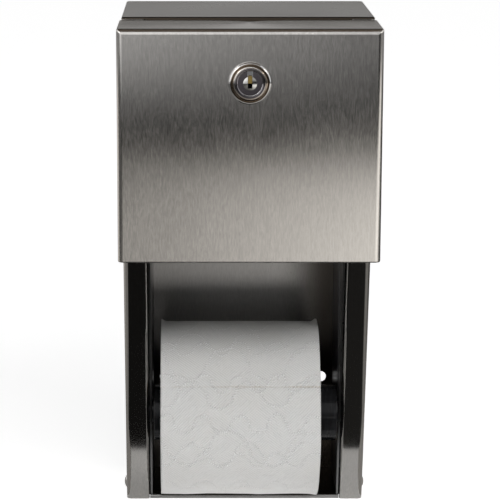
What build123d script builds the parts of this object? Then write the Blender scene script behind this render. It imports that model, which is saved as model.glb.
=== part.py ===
from build123d import *
import math
import os

# Two-roll toilet tissue dispenser in stainless sheet, hung on a wall.
# Lengths are in millimetres. X is to the right of a person facing the dispenser,
# +Y goes into the wall and +Z is up. The origin is the centre of the four
# wall screws, on the back face and at mid-height.

# Whole dispenser
front_width = 152.4
overall_depth = 152.4
cabinet_height = 311.0
cut_overrun = 3.0

# Sheets and folds
door_sheet = 1.0
frame_sheet = 1.2
door_bend = 3.2
door_corner_bend = 1.2
post_bend = 3.2
rear_bend = 3.0
side_gap = 0.3
weld_gap = 0.3

# Cabinet
post_face_width = 14.5
hem_width = 5.0
hem_round = 1.9
rear_flange_width = 8.0
top_flange_height = 20.0
top_front_bend = 1.5
shelf_lip_height = 2.4
shelf_upturn_height = 16.0
shelf_side_gap = 0.3
shelf_setback = 1.0
shelf_end_setback = 3.0

# Wall screws
screw_from_track = 7.5
screw_spacing_z = 182.0
screw_hole_radius = 3.6

# Door
door_drop = 1.5
door_bottom_below_top = 137.1
door_projection = 51.8
door_flange_depth = 50.0
door_hem_height = 10.0
ear_radius = 8.5
pivot_above_door_bottom = 9.8
pivot_behind_face = 58.4

# Rivets
rivet_radius = 3.0
rivet_fit = 0.05
rivet_head_radius = 4.5
rivet_head_height = 1.7
rivet_tail_height = 1.2
shelf_rivet_above_bottom = 8.3
shelf_rivet_behind_front = 11.0
hinge_rivet_gap = 0.2

# Lock
lock_below_top = 32.3
bezel_radius = 12.2
bezel_height = 2.6
bezel_rim = 1.1
dish_radius = 9.6
dish_height = 1.1
collar_radius = 9.1
collar_height = 2.7
collar_edge = 0.4
face_radius = 7.1
face_height = 1.9
barrel_radius = 9.4
barrel_length = 20.0
lock_hole_gap = 0.2
plug_radius = 4.0
plug_fit = 0.05
plug_height = 2.2
plug_end_gap = 0.2
tail_side = 5.0
tail_fit = 0.05
keyway_width = 2.6
keyway_depth = 12.0
notch_width = 3.2
notch_reach = 3.1
notch_depth = 5.0
keyway_floor = 1.2
wafer_count = 4
wafer_thickness = 0.9
wafer_pitch = 2.2
wafer_inset = 2.6
wafer_height = 4.2
wafer_gap = 0.1
lock_nut_flats = 24.0
lock_nut_thickness = 4.0
cam_thickness = 2.0
cam_width = 12.0
cam_reach = 18.4
cam_screw_radius = 3.6
cam_screw_height = 2.4
cam_screw_shank_radius = 1.5
cam_screw_length = 8.0
driver_slot_width = 1.0
driver_slot_depth = 1.2

# Keeper that the lock's cam hooks behind
keeper_width = 26.0
keeper_sheet = 1.5
keeper_top_below_top = 11.3
keeper_lip_height = 8.6
keeper_cam_gap = 0.9

# Track plates that the spindles ride in
track_sheet = 1.2
track_from_post_edge = 1.9
track_front_inset = 2.6
track_top_below_top = 10.0
track_flange_width = 5.6
slot_clearance = 0.4
slot_cover = 7.8
mouth_above_spindle = 17.3
mouth_rise = 3.0

# Spindles
spindle_radius = 17.5
spindle_end_gap = 1.3
spindle_wall = 2.8
cap_rim = 1.6
cap_chamfer = 0.7
cap_plug_length = 8.0
cap_fit = 0.05
pin_width = 9.6
pin_height = 14.0
pin_past_track = 4.5

# Leaf spring that brakes each roll
spring_thickness = 0.6
spring_width = 8.0
spring_from_spindle_end = 15.2
spring_seat_depth = 1.6
spring_seat_gap = 0.5
spring_gap = 0.3

# Rolls
roll_radius = 54.3
roll_rear_gap = 8.6
roll_floor_gap = 4.0
roll_left_gap = 6.0
roll_right_gap = 13.6
core_under_gap = 0.5
core_inner_radius = 20.3
core_wall = 0.8
core_recess = 0.5
core_fit = 0.05
roll_edge_round = 0.8

# Arms that hold the reserve spindle
arm_thickness = 2.0
arm_width = 11.0
arm_reach = 41.0
arm_gap = 0.4
arm_lift_gap = 0.3
stud_radius = 3.0
stud_fit = 0.05
stud_collar_radius = 5.5
stud_collar_height = 0.9
clip_radius = 5.0
clip_thickness = 0.8
clip_gap = 0.1
clip_slot_width = 3.4
stud_end_reach = 8.0
coil_wire = 1.2
coil_turns = 3
coil_pitch = 1.5
coil_rest_gap = 0.2
front_leg = 14.0
rear_leg = 12.0

# Shares of the sizes that they follow
roll_gap_share = 0.5
fold_share = 0.8
tail_head_share = 0.8
rim_shoulder_share = 0.55
rim_round_share = 0.85
rim_crown_share = 0.35
lock_flat_share = 0.86
cam_tip_share = 0.42

# Places worked out from the sizes above
top_z = cabinet_height / 2
bottom_z = -cabinet_height / 2
half_front = front_width / 2
post_outer = half_front - door_sheet - side_gap
post_inner = post_outer - post_face_width
track_inner = post_inner - track_from_post_edge
track_outer = track_inner + track_sheet
cabinet_depth = overall_depth - door_projection
door_top_z = top_z - door_drop
door_bottom_z = top_z - door_bottom_below_top
face_y = -overall_depth
door_rear_y = face_y + door_flange_depth
pivot_y = face_y + pivot_behind_face
pivot_z = door_bottom_z + pivot_above_door_bottom
roof_z = top_z - frame_sheet
rear_plane_y = -frame_sheet
lock_z = top_z - lock_below_top
shelf_top_z = bottom_z + shelf_lip_height
screw_spacing_x = 2 * (track_inner - screw_from_track)

# Places of the spindles and the rolls
roll_lift = core_inner_radius - spindle_radius - core_under_gap
roll_width = 2 * track_inner - roll_left_gap - roll_right_gap
roll_shift = (roll_left_gap - roll_right_gap) / 2
lower_roll_z = shelf_top_z + roll_floor_gap + roll_radius
spare_height = roof_z - shelf_top_z - roll_floor_gap - 4 * roll_radius
roll_spacing = 2 * roll_radius + spare_height * roll_gap_share
spindle_y = -frame_sheet - roll_rear_gap - roll_radius
lower_spindle_z = lower_roll_z - roll_lift
reserve_spindle_z = lower_spindle_z + roll_spacing
spindle_length = 2 * (track_inner - spindle_end_gap)
pin_reach = track_outer + pin_past_track
spring_length = spindle_length - 2 * spring_from_spindle_end
slot_half = pin_width / 2 + slot_clearance
pin_shift = (pin_height - pin_width) / 2
slot_foot_z = lower_spindle_z - pin_shift - slot_half

# Front line of the posts: it slants back below the door and still covers the slot's foot
slot_foot_cover_depth = slot_cover - spindle_y
lean = math.atan((cabinet_depth - slot_foot_cover_depth) / (door_bottom_z - slot_foot_z))
foot_depth = cabinet_depth - (door_bottom_z - bottom_z) * math.tan(lean)

# Places of the shelf, the tracks, the arms and the keeper
shelf_rivet_z = bottom_z + shelf_rivet_above_bottom
shelf_rivet_y = shelf_rivet_behind_front - foot_depth
shelf_end = post_outer - frame_sheet
shelf_front_half = post_inner - shelf_side_gap
shelf_front_depth = foot_depth - shelf_setback
shelf_end_depth = foot_depth - 2 * frame_sheet - shelf_end_setback
track_top_z = top_z - track_top_below_top
mouth_z = reserve_spindle_z + mouth_above_spindle
reserve_pin_foot_z = reserve_spindle_z - pin_height / 2
stud_y = spindle_y + arm_reach
stud_z = reserve_pin_foot_z - arm_lift_gap - arm_width / 2
arm_inner = track_outer + arm_gap
coil_start_x = arm_inner + arm_thickness + clip_gap + clip_thickness + coil_wire / 2 + weld_gap
coil_radius = arm_width / 2 + coil_rest_gap + coil_wire / 2
keeper_top_z = top_z - keeper_top_below_top
cam_front_y = face_y + barrel_length + plug_end_gap
keeper_front_y = cam_front_y - keeper_cam_gap - keeper_sheet
bore_radius = plug_radius + plug_fit


def side_outline(inset, low, high, rear):
    """Side view of a post as points in Y and Z, with its front line set in."""
    slanted = inset / math.cos(lean)
    kink_z = door_bottom_z + inset * math.tan(lean / 2)
    low_front = -foot_depth - (low - bottom_z) * math.tan(lean) + slanted
    upright_front = -cabinet_depth + inset
    return [(rear, low), (low_front, low), (upright_front, kink_z), (upright_front, high), (rear, high)]


def front_strip(outer_inset, inner_inset, low, high):
    """Closed side view of a sheet that follows the post's front line."""
    outer = side_outline(outer_inset, low, high, 0)[1:4]
    inner = side_outline(inner_inset, low, high, 0)[1:4]
    return outer + inner[::-1]


def long_front_edges(edges):
    """The edges that run up the post's front line, out of those given."""
    return [edge for edge in edges if edge.center().Y < -foot_depth / 2
            and abs(edge.tangent_at(0).Z) > abs(edge.tangent_at(0).Y)]


def rivet(head_x, tail_x, y, z):
    """A rivet along X with a domed head outside head_x and a flat tail inside tail_x."""
    dome_radius = (rivet_head_radius**2 + rivet_head_height**2) / (2 * rivet_head_height)
    dome_half_angle = math.asin(rivet_head_radius / dome_radius) / 2
    dome_centre_x = head_x + rivet_head_height - dome_radius
    dome_middle = (
        dome_centre_x + dome_radius * math.cos(dome_half_angle),
        dome_radius * math.sin(dome_half_angle),
    )
    tail_radius = rivet_head_radius * tail_head_share
    with BuildPart() as piece:
        with BuildSketch(Plane(origin=(0, y, z))):
            with BuildLine():
                Polyline(
                    (head_x + rivet_head_height, 0),
                    (tail_x - rivet_tail_height, 0),
                    (tail_x - rivet_tail_height, tail_radius),
                    (tail_x, tail_radius),
                    (tail_x, rivet_radius),
                    (head_x, rivet_radius),
                    (head_x, rivet_head_radius),
                )
                ThreePointArc((head_x, rivet_head_radius), dome_middle, (head_x + rivet_head_height, 0))
            make_face()
        revolve(axis=Axis((0, y, z), (1, 0, 0)))
    return piece.part


def lock_plane():
    """Plane through the lock's axis: its x is the radius and its y runs into the door."""
    return Plane(origin=(0, 0, lock_z))


def save(piece, name):
    """Label a finished piece and write it as its own file."""
    piece.label = name
    export_step(piece, "parts/" + name + ".step")


os.makedirs("parts", exist_ok=True)

# Right post: outer wall, slanted front face with a closed hem, and rear flange
with BuildPart() as post_hollow:
    with BuildSketch(Plane.YZ.offset(post_inner - cut_overrun)):
        with BuildLine():
            Polyline(
                side_outline(frame_sheet, bottom_z - cut_overrun, roof_z + cut_overrun, rear_plane_y - frame_sheet),
                close=True,
            )
        make_face()
    extrude(amount=post_outer - frame_sheet - post_inner + cut_overrun)
    fillet(long_front_edges(post_hollow.edges().group_by(Axis.X)[-1]), post_bend - frame_sheet)

with BuildPart() as right_column:
    with BuildSketch(Plane.YZ.offset(post_inner)):
        with BuildLine():
            Polyline(side_outline(0, bottom_z, roof_z, rear_plane_y), close=True)
        make_face()
    extrude(amount=post_outer - post_inner)
    fillet(long_front_edges(right_column.edges().group_by(Axis.X)[-1]), post_bend)
    fillet(right_column.edges().filter_by(Axis.Z).group_by(Axis.X)[-1].sort_by(Axis.Y)[-1], rear_bend)
    add(post_hollow.part, mode=Mode.SUBTRACT)
    with BuildSketch(Plane.YZ.offset(post_inner)):
        with BuildLine():
            Polyline(front_strip(frame_sheet, 2 * frame_sheet, bottom_z, roof_z), close=True)
        make_face()
    extrude(amount=hem_width)
    hem_folds = ShapeList(long_front_edges(right_column.edges().group_by(Axis.X)[0])).sort_by(Axis.Y)
    fillet(hem_folds[::2], hem_round)
    with BuildSketch(Plane.XY.offset(bottom_z - cut_overrun)):
        with Locations((post_inner, rear_plane_y)):
            Rectangle(
                post_outer - post_inner - rear_flange_width - frame_sheet,
                2 * frame_sheet + cut_overrun,
                align=(Align.MIN, Align.CENTER),
            )
    extrude(amount=cabinet_height + 2 * cut_overrun, mode=Mode.SUBTRACT)
    with BuildSketch(Plane.YZ.offset(post_outer - frame_sheet - cut_overrun)):
        with Locations((pivot_y, pivot_z), (shelf_rivet_y, shelf_rivet_z)):
            Circle(rivet_radius + rivet_fit)
    extrude(amount=frame_sheet + 2 * cut_overrun, mode=Mode.SUBTRACT)
save(right_column.part, "right_column")

with BuildPart() as left_column:
    mirror(right_column.part, about=Plane.YZ)
save(left_column.part, "left_column")

# Flat back panel with the wall screw holes
with BuildPart() as back_panel:
    with BuildSketch(Plane.XZ):
        with Locations((0, (roof_z + bottom_z) / 2)):
            Rectangle(2 * (post_outer - rear_bend), roof_z - bottom_z)
        with GridLocations(screw_spacing_x, screw_spacing_z, 2, 2):
            Circle(screw_hole_radius, mode=Mode.SUBTRACT)
    extrude(amount=frame_sheet)
save(back_panel.part, "back_panel")

# Roof with a front flange that turns down between the posts and a short rear one
with BuildPart() as top_panel:
    with BuildSketch(Plane.XY.offset(roof_z)):
        with Locations((0, -cabinet_depth)):
            Rectangle(2 * post_outer, cabinet_depth, align=(Align.CENTER, Align.MIN))
    extrude(amount=frame_sheet)
    fillet(top_panel.edges().filter_by(Axis.Z).group_by(Axis.Y)[-1], rear_bend)
    with BuildSketch(Plane.XY.offset(roof_z - top_flange_height)):
        with Locations((0, -cabinet_depth)):
            Rectangle(2 * (post_inner - weld_gap), frame_sheet, align=(Align.CENTER, Align.MIN))
        with Locations((0, rear_plane_y)):
            Rectangle(2 * (track_inner - weld_gap), frame_sheet, align=(Align.CENTER, Align.MAX))
    extrude(amount=top_flange_height)
    roof_front = top_panel.edges().filter_by(Axis.X).group_by(Axis.Y)[0].sort_by(Axis.Z)[-1]
    fillet(roof_front, top_front_bend)
    roof_sides = top_panel.edges().filter_by(Axis.Y).group_by(Axis.Z)[-1]
    fillet(roof_sides, frame_sheet * fold_share)
save(top_panel.part, "top_panel")

# Bottom shelf with a front lip between the posts and upturned ends inside them
with BuildPart() as bottom_shelf:
    with BuildSketch(Plane.XY.offset(shelf_top_z - frame_sheet)):
        with BuildLine():
            Polyline(
                (-shelf_end, rear_plane_y),
                (-shelf_end, -shelf_end_depth),
                (-shelf_front_half, -shelf_end_depth),
                (-shelf_front_half, -shelf_front_depth),
                (shelf_front_half, -shelf_front_depth),
                (shelf_front_half, -shelf_end_depth),
                (shelf_end, -shelf_end_depth),
                (shelf_end, rear_plane_y),
                close=True,
            )
        make_face()
    extrude(amount=frame_sheet)
    with BuildSketch(Plane.XY.offset(bottom_z)):
        with Locations((0, -shelf_front_depth)):
            Rectangle(2 * shelf_front_half, frame_sheet, align=(Align.CENTER, Align.MIN))
    extrude(amount=shelf_lip_height)
    with BuildSketch(Plane.XY.offset(shelf_top_z - frame_sheet)):
        with Locations((0, rear_plane_y - frame_sheet - weld_gap)):
            Rectangle(
                2 * shelf_end,
                shelf_end_depth + rear_plane_y - frame_sheet - weld_gap,
                align=(Align.CENTER, Align.MAX),
            )
            Rectangle(
                2 * (shelf_end - frame_sheet),
                shelf_end_depth + rear_plane_y - frame_sheet - weld_gap,
                align=(Align.CENTER, Align.MAX),
                mode=Mode.SUBTRACT,
            )
    extrude(amount=shelf_upturn_height)
    with BuildSketch(Plane.YZ.offset(-shelf_end - cut_overrun)):
        with Locations((shelf_rivet_y, shelf_rivet_z)):
            Circle(rivet_radius + rivet_fit)
    extrude(amount=2 * (shelf_end + cut_overrun), mode=Mode.SUBTRACT)
    with BuildSketch(Plane.XY.offset(bottom_z - cut_overrun)):
        with Locations((-shelf_end, rear_plane_y), (shelf_end, rear_plane_y)):
            Rectangle(2 * (rear_flange_width + frame_sheet), 2 * (frame_sheet + weld_gap))
    extrude(amount=cabinet_height, mode=Mode.SUBTRACT)
    lip_edge = bottom_shelf.edges().filter_by(Axis.X).group_by(Axis.Y)[0].sort_by(Axis.Z)[-1]
    fillet(lip_edge, frame_sheet * fold_share)
save(bottom_shelf.part, "bottom_shelf")

# Right track plate: a slot that the spindle's pin drops down, open to the front
# above the reserve seat, and a flange at the rear for the spot welds
with BuildPart() as right_track_plate:
    with BuildSketch(Plane.YZ.offset(track_inner)):
        with BuildLine():
            Polyline(
                side_outline(track_front_inset, shelf_top_z, track_top_z, rear_plane_y),
                close=True,
            )
        make_face()
    extrude(amount=track_sheet)
    with BuildSketch(Plane.YZ.offset(track_inner - cut_overrun)):
        with Locations((spindle_y, lower_spindle_z - pin_shift)):
            Circle(slot_half)
        with Locations((spindle_y, lower_spindle_z - pin_shift)):
            Rectangle(2 * slot_half, mouth_z - lower_spindle_z + pin_shift, align=(Align.CENTER, Align.MIN))
        with BuildLine():
            Polyline(
                (spindle_y + slot_half, mouth_z),
                (spindle_y + slot_half, mouth_z + 2 * slot_half),
                (-cabinet_depth, mouth_z + 2 * slot_half + mouth_rise),
                (-cabinet_depth, mouth_z - slot_half + mouth_rise),
                (spindle_y - slot_half, mouth_z - slot_half),
                close=True,
            )
        make_face()
    extrude(amount=track_sheet + 2 * cut_overrun, mode=Mode.SUBTRACT)
    with BuildSketch(Plane.YZ.offset(track_inner - cut_overrun)):
        with Locations((stud_y, stud_z)):
            Circle(stud_radius + stud_fit)
        with Locations((stud_y + rear_leg, stud_z - coil_radius)):
            Circle(coil_wire / 2 + coil_rest_gap)
    extrude(amount=track_sheet + 2 * cut_overrun, mode=Mode.SUBTRACT)
    with BuildSketch(Plane.XZ.offset(-rear_plane_y)):
        with Locations((track_inner, shelf_top_z)):
            Rectangle(track_sheet + track_flange_width, track_top_z - shelf_top_z, align=(Align.MIN, Align.MIN))
    extrude(amount=frame_sheet)
save(right_track_plate.part, "right_track_plate")

with BuildPart() as left_track_plate:
    mirror(right_track_plate.part, about=Plane.YZ)
save(left_track_plate.part, "left_track_plate")

# Keeper: an inverted channel welded to the roof's front flange
with BuildPart() as lock_keeper:
    with BuildSketch(Plane.YZ.offset(-keeper_width / 2)):
        with BuildLine():
            Polyline(
                (-cabinet_depth, keeper_top_z),
                (keeper_front_y, keeper_top_z),
                (keeper_front_y, keeper_top_z - keeper_lip_height),
                (keeper_front_y + keeper_sheet, keeper_top_z - keeper_lip_height),
                (keeper_front_y + keeper_sheet, keeper_top_z - keeper_sheet),
                (-cabinet_depth - keeper_sheet, keeper_top_z - keeper_sheet),
                (-cabinet_depth - keeper_sheet, keeper_top_z - keeper_lip_height),
                (-cabinet_depth, keeper_top_z - keeper_lip_height),
                close=True,
            )
        make_face()
    extrude(amount=keeper_width)
    keeper_fold = lock_keeper.edges().filter_by(Axis.X).group_by(Axis.Z)[-1].sort_by(Axis.Y)[0]
    fillet(keeper_fold, keeper_sheet * fold_share)
save(lock_keeper.part, "lock_keeper")

# Domed rivets that hold the shelf's upturned ends to the posts
with BuildPart() as shelf_rivets:
    add(rivet(post_outer, shelf_end - frame_sheet, shelf_rivet_y, shelf_rivet_z))
    mirror(about=Plane.YZ)
save(shelf_rivets.part, "shelf_rivets")

# Door: a shallow pan with a folded hem and an ear at each lower rear corner
with BuildPart() as door_hollow:
    with BuildSketch(Plane.XY.offset(door_bottom_z - cut_overrun)):
        with Locations((0, face_y + door_sheet)):
            Rectangle(
                front_width - 2 * door_sheet,
                door_flange_depth + cut_overrun,
                align=(Align.CENTER, Align.MIN),
            )
    extrude(amount=door_top_z - door_sheet - door_bottom_z + cut_overrun)
    hollow_folds = door_hollow.edges().filter_by(Axis.Z).group_by(Axis.Y)[0]
    hollow_folds += door_hollow.edges().group_by(Axis.Z)[-1].sort_by(Axis.Y)[0:1]
    fillet(hollow_folds, door_bend - door_sheet)
    hollow_corners = door_hollow.edges().filter_by(Axis.Y).group_by(Axis.Z)[-1]
    fillet(hollow_corners, door_corner_bend - door_sheet)

with BuildPart() as door_panel:
    with BuildSketch(Plane.XY.offset(door_bottom_z)):
        with Locations((0, face_y)):
            Rectangle(front_width, door_flange_depth, align=(Align.CENTER, Align.MIN))
    extrude(amount=door_top_z - door_bottom_z)
    door_folds = door_panel.edges().filter_by(Axis.Z).group_by(Axis.Y)[0]
    door_folds += door_panel.edges().group_by(Axis.Z)[-1].sort_by(Axis.Y)[0:1]
    fillet(door_folds, door_bend)
    door_corners = door_panel.edges().filter_by(Axis.Y).group_by(Axis.Z)[-1]
    fillet(door_corners, door_corner_bend)
    add(door_hollow.part, mode=Mode.SUBTRACT)
    with BuildSketch(Plane.XY.offset(door_bottom_z)):
        with Locations((0, face_y + door_sheet)):
            Rectangle(front_width - 2 * door_bend, door_sheet, align=(Align.CENTER, Align.MIN))
    extrude(amount=door_hem_height)
    hem_edges = door_panel.edges().filter_by(Axis.X).group_by(Axis.Z)[0]
    fillet(hem_edges.sort_by(Axis.Y)[0], door_sheet * fold_share)
    for side_x in (half_front - door_sheet, -half_front):
        with BuildSketch(Plane.YZ.offset(side_x)):
            with Locations((pivot_y, pivot_z)):
                Circle(ear_radius)
            with Locations((door_rear_y, pivot_z)):
                Rectangle(pivot_y - door_rear_y, 2 * ear_radius, align=(Align.MIN, Align.CENTER))
            with Locations((pivot_y, pivot_z)):
                Circle(rivet_radius + rivet_fit, mode=Mode.SUBTRACT)
        extrude(amount=door_sheet)
    with BuildSketch(Plane.XZ.offset(-face_y + cut_overrun)):
        with Locations((0, lock_z)):
            Circle(barrel_radius + lock_hole_gap)
            Rectangle(
                2 * (barrel_radius * lock_flat_share + lock_hole_gap),
                2 * (barrel_radius + lock_hole_gap),
                mode=Mode.INTERSECT,
            )
    extrude(amount=-cut_overrun - door_sheet - cut_overrun, mode=Mode.SUBTRACT)
save(door_panel.part, "door_panel")

# Rivets that the door turns on
with BuildPart() as hinge_rivets:
    add(rivet(half_front, post_outer - frame_sheet - hinge_rivet_gap, pivot_y, pivot_z))
    mirror(about=Plane.YZ)
save(hinge_rivets.part, "hinge_rivets")

# Lock housing: dished bezel, raised collar, sunk face and threaded barrel with two flats
with BuildPart() as lock_housing:
    with BuildSketch(lock_plane()):
        with BuildLine():
            Polyline(
                (bore_radius, face_y - face_height),
                (bore_radius, face_y + barrel_length),
                (barrel_radius, face_y + barrel_length),
                (barrel_radius, face_y),
                (bezel_radius, face_y),
                (bezel_radius, face_y - bezel_height * rim_shoulder_share),
            )
            ThreePointArc(
                (bezel_radius, face_y - bezel_height * rim_shoulder_share),
                (bezel_radius - bezel_rim * rim_crown_share, face_y - bezel_height * rim_round_share),
                (bezel_radius - bezel_rim, face_y - bezel_height),
            )
            Polyline(
                (bezel_radius - bezel_rim, face_y - bezel_height),
                (dish_radius, face_y - dish_height),
                (collar_radius, face_y - dish_height),
                (collar_radius, face_y - collar_height + collar_edge),
                (collar_radius - collar_edge, face_y - collar_height),
                (face_radius + collar_edge, face_y - collar_height),
                (face_radius, face_y - collar_height + collar_edge),
                (face_radius, face_y - face_height),
                (bore_radius, face_y - face_height),
            )
        make_face()
    revolve(axis=Axis((0, 0, lock_z), (0, 1, 0)))
    for side in (1, -1):
        with BuildSketch(Plane.XZ.offset(-face_y)):
            with Locations((side * barrel_radius * lock_flat_share, lock_z)):
                Rectangle(
                    barrel_radius,
                    2 * barrel_radius,
                    align=(Align.MIN if side > 0 else Align.MAX, Align.CENTER),
                )
        extrude(amount=-barrel_length - cut_overrun, mode=Mode.SUBTRACT)
    with BuildSketch(Plane.XZ.offset(-face_y + face_height + cut_overrun)):
        with Locations((0, lock_z)):
            Rectangle(notch_width, plug_radius + notch_reach, align=(Align.CENTER, Align.MIN))
    extrude(amount=-notch_depth - cut_overrun, mode=Mode.SUBTRACT)
save(lock_housing.part, "lock_housing")

with BuildPart() as lock_nut:
    with BuildSketch(Plane.XZ.offset(-face_y - door_sheet)):
        with Locations((0, lock_z)):
            RegularPolygon(lock_nut_flats / 2, 6, major_radius=False)
            Circle(barrel_radius + lock_hole_gap, mode=Mode.SUBTRACT)
    extrude(amount=-lock_nut_thickness)
    chamfer(lock_nut.edges().filter_by(GeomType.LINE).group_by(Axis.Y)[-1], door_sheet * fold_share)
save(lock_nut.part, "lock_nut")

# Plug that the key turns, with its keyway and a square tail for the cam
with BuildPart() as lock_plug:
    with BuildSketch(Plane.XZ.offset(-face_y + plug_height)):
        with Locations((0, lock_z)):
            Circle(plug_radius)
    extrude(amount=-plug_height - barrel_length - plug_end_gap)
    with BuildSketch(Plane.XZ.offset(-cam_front_y)):
        with Locations((0, lock_z)):
            Rectangle(tail_side, tail_side)
    extrude(amount=-cam_thickness)
    with BuildSketch(Plane.XZ.offset(-face_y + plug_height + cut_overrun)):
        with Locations((0, lock_z - plug_radius + keyway_floor)):
            Rectangle(keyway_width, 2 * plug_radius, align=(Align.CENTER, Align.MIN))
    extrude(amount=-keyway_depth - plug_height - cut_overrun, mode=Mode.SUBTRACT)
    with BuildSketch(Plane.XZ.offset(-cam_front_y - cam_thickness - cut_overrun)):
        with Locations((0, lock_z)):
            Circle(cam_screw_shank_radius + tail_fit)
    extrude(amount=cam_screw_length + cut_overrun, mode=Mode.SUBTRACT)
save(lock_plug.part, "lock_plug")

# Brass wafers that show in the upper half of the keyway
with BuildPart() as lock_wafers:
    for index in range(wafer_count):
        wafer_y = face_y - plug_height + wafer_inset + index * wafer_pitch
        with BuildSketch(Plane.XZ.offset(-wafer_y)):
            with Locations((0, lock_z + plug_radius - wafer_height)):
                Rectangle(keyway_width - 2 * wafer_gap, wafer_height, align=(Align.CENTER, Align.MIN))
            with Locations((0, lock_z)):
                Circle(plug_radius - wafer_gap, mode=Mode.INTERSECT)
        extrude(amount=-wafer_thickness)
save(lock_wafers.part, "lock_wafers")

with BuildPart() as lock_cam:
    with BuildSketch(Plane.XZ.offset(-cam_front_y)):
        with Locations((0, lock_z)):
            Circle(cam_width / 2)
            Rectangle(cam_width, cam_reach - cam_width * cam_tip_share, align=(Align.CENTER, Align.MIN))
        with Locations((0, lock_z + cam_reach - cam_width / 2)):
            Circle(cam_width / 2)
        with Locations((0, lock_z)):
            Rectangle(tail_side + 2 * tail_fit, tail_side + 2 * tail_fit, mode=Mode.SUBTRACT)
    extrude(amount=-cam_thickness)
save(lock_cam.part, "lock_cam")

with BuildPart() as cam_screw:
    with BuildSketch(Plane.XZ.offset(-cam_front_y - cam_thickness)):
        with Locations((0, lock_z)):
            Circle(cam_screw_radius)
    extrude(amount=-cam_screw_height)
    chamfer(cam_screw.edges().group_by(Axis.Y)[-1], cam_screw_height / 4)
    with BuildSketch(Plane.XZ.offset(-cam_front_y - cam_thickness)):
        with Locations((0, lock_z)):
            Circle(cam_screw_shank_radius)
    extrude(amount=cam_screw_length - plug_end_gap)
    with BuildSketch(Plane.XZ.offset(-cam_front_y - cam_thickness - cam_screw_height)):
        with Locations((0, lock_z)):
            Rectangle(2 * cam_screw_radius, driver_slot_width)
    extrude(amount=driver_slot_depth, mode=Mode.SUBTRACT)
save(cam_screw.part, "cam_screw")

# Lower spindle: a tube with a flat seat along its top for the leaf spring
with BuildPart() as lower_spindle:
    with BuildSketch(Plane.YZ.offset(-spindle_length / 2 + cap_rim)):
        with Locations((spindle_y, lower_spindle_z)):
            Circle(spindle_radius)
            Circle(spindle_radius - spindle_wall, mode=Mode.SUBTRACT)
    extrude(amount=spindle_length - 2 * cap_rim)
    with BuildSketch(Plane.XY.offset(lower_spindle_z + spindle_radius - spring_seat_depth)):
        with Locations((0, spindle_y)):
            Rectangle(spring_length + 2 * spring_seat_gap, spring_width + 2 * spring_seat_gap)
    extrude(amount=spring_seat_depth + cut_overrun, mode=Mode.SUBTRACT)

# End caps of the lower spindle, each with a flat-sided pin
with BuildPart() as lower_spindle_caps:
    with BuildSketch(Plane.YZ.offset(spindle_length / 2 - cap_rim)):
        with Locations((spindle_y, lower_spindle_z)):
            Circle(spindle_radius)
    extrude(amount=cap_rim)
    chamfer(lower_spindle_caps.edges().group_by(Axis.X)[-1], cap_chamfer)
    with BuildSketch(Plane.YZ.offset(spindle_length / 2 - cap_rim)):
        with Locations((spindle_y, lower_spindle_z)):
            Circle(spindle_radius - spindle_wall - cap_fit)
    extrude(amount=-cap_plug_length)
    with BuildSketch(Plane.YZ.offset(spindle_length / 2 - cap_rim)):
        with Locations((spindle_y, lower_spindle_z)):
            SlotOverall(pin_height, pin_width, rotation=90)
    extrude(amount=pin_reach - spindle_length / 2 + cap_rim)
    chamfer(lower_spindle_caps.edges().group_by(Axis.X)[-1], cap_chamfer)
    mirror(about=Plane.YZ)

# Leaf spring that rises off the spindle and presses up on the core
with BuildPart() as lower_brake_spring:
    seat_z = lower_spindle_z + spindle_radius - spring_seat_depth
    core_roof_z = lower_roll_z + math.sqrt(core_inner_radius**2 - (spring_width / 2) ** 2)
    crown_z = core_roof_z - spring_gap
    with BuildSketch(Plane.XZ.offset(-spindle_y - spring_width / 2)):
        with BuildLine():
            ThreePointArc(
                (-spring_length / 2, seat_z + spring_thickness),
                (0, crown_z),
                (spring_length / 2, seat_z + spring_thickness),
            )
            ThreePointArc(
                (-spring_length / 2, seat_z),
                (0, crown_z - spring_thickness),
                (spring_length / 2, seat_z),
            )
            Line((-spring_length / 2, seat_z), (-spring_length / 2, seat_z + spring_thickness))
            Line((spring_length / 2, seat_z), (spring_length / 2, seat_z + spring_thickness))
        make_face()
    extrude(amount=spring_width)

# Roll of tissue on its card core
with BuildPart() as lower_roll_paper:
    with BuildSketch(Plane.YZ.offset(roll_shift - roll_width / 2)):
        with Locations((spindle_y, lower_roll_z)):
            Circle(roll_radius)
            Circle(core_inner_radius + core_wall + core_fit, mode=Mode.SUBTRACT)
    extrude(amount=roll_width)
    rims = lower_roll_paper.edges().filter_by(GeomType.CIRCLE)
    fillet([rim for rim in rims if rim.radius > roll_radius - core_wall], roll_edge_round)

with BuildPart() as lower_roll_core:
    with BuildSketch(Plane.YZ.offset(roll_shift - roll_width / 2 + core_recess)):
        with Locations((spindle_y, lower_roll_z)):
            Circle(core_inner_radius + core_wall)
            Circle(core_inner_radius, mode=Mode.SUBTRACT)
    extrude(amount=roll_width - 2 * core_recess)

# The reserve set is the lower one again, one roll spacing higher
for piece, name in (
    (lower_spindle, "spindle"),
    (lower_spindle_caps, "spindle_caps"),
    (lower_brake_spring, "brake_spring"),
    (lower_roll_paper, "roll_paper"),
    (lower_roll_core, "roll_core"),
):
    save(piece.part, "lower_" + name)
    with BuildPart() as reserve_piece:
        with Locations((0, 0, roll_spacing)):
            add(piece.part)
    save(reserve_piece.part, "reserve_" + name)

# Arm that holds the reserve spindle's pin up
with BuildPart() as right_arm:
    with BuildSketch(Plane.YZ.offset(arm_inner)):
        with Locations(((spindle_y + stud_y) / 2, stud_z)):
            SlotCenterToCenter(arm_reach, arm_width)
        with Locations((stud_y, stud_z)):
            Circle(stud_radius + stud_fit, mode=Mode.SUBTRACT)
    extrude(amount=arm_thickness)
save(right_arm.part, "right_arm")

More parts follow.
